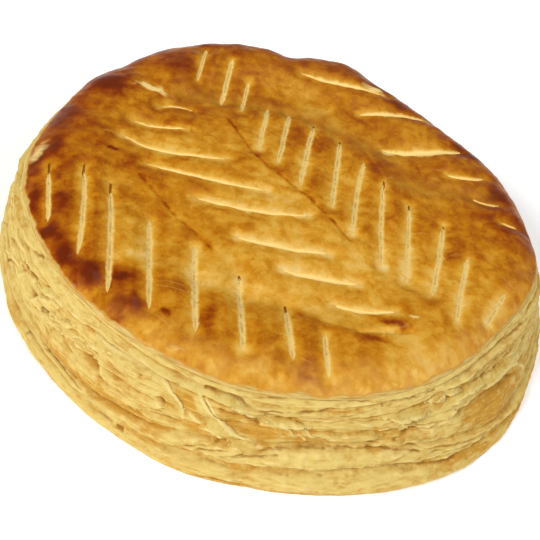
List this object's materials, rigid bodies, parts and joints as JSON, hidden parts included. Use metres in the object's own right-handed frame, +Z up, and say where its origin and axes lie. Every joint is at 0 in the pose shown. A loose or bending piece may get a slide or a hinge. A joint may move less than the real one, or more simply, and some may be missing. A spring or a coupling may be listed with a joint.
{
  "type": "galette des rois",
  "caption": "Round puff pastry pie with a browned top scored in rows of slanting knife cuts on either side of two spines, and a pale side of bulging layers.",
  "frame": {"origin": "middle of the flat underside, on the table", "axes": "+Z up; the rows of cuts slant from the back left (-X +Y) down to the front right (+X -Y)"},
  "size_m": [0.2505, 0.2505, 0.043],
  "materials": {
    "browned_crust": "satin",
    "flaky_layers": "matte"
  },
  "bodies": {
    "root": {"galette": "browned_crust"}
  },
  "joints": []
}
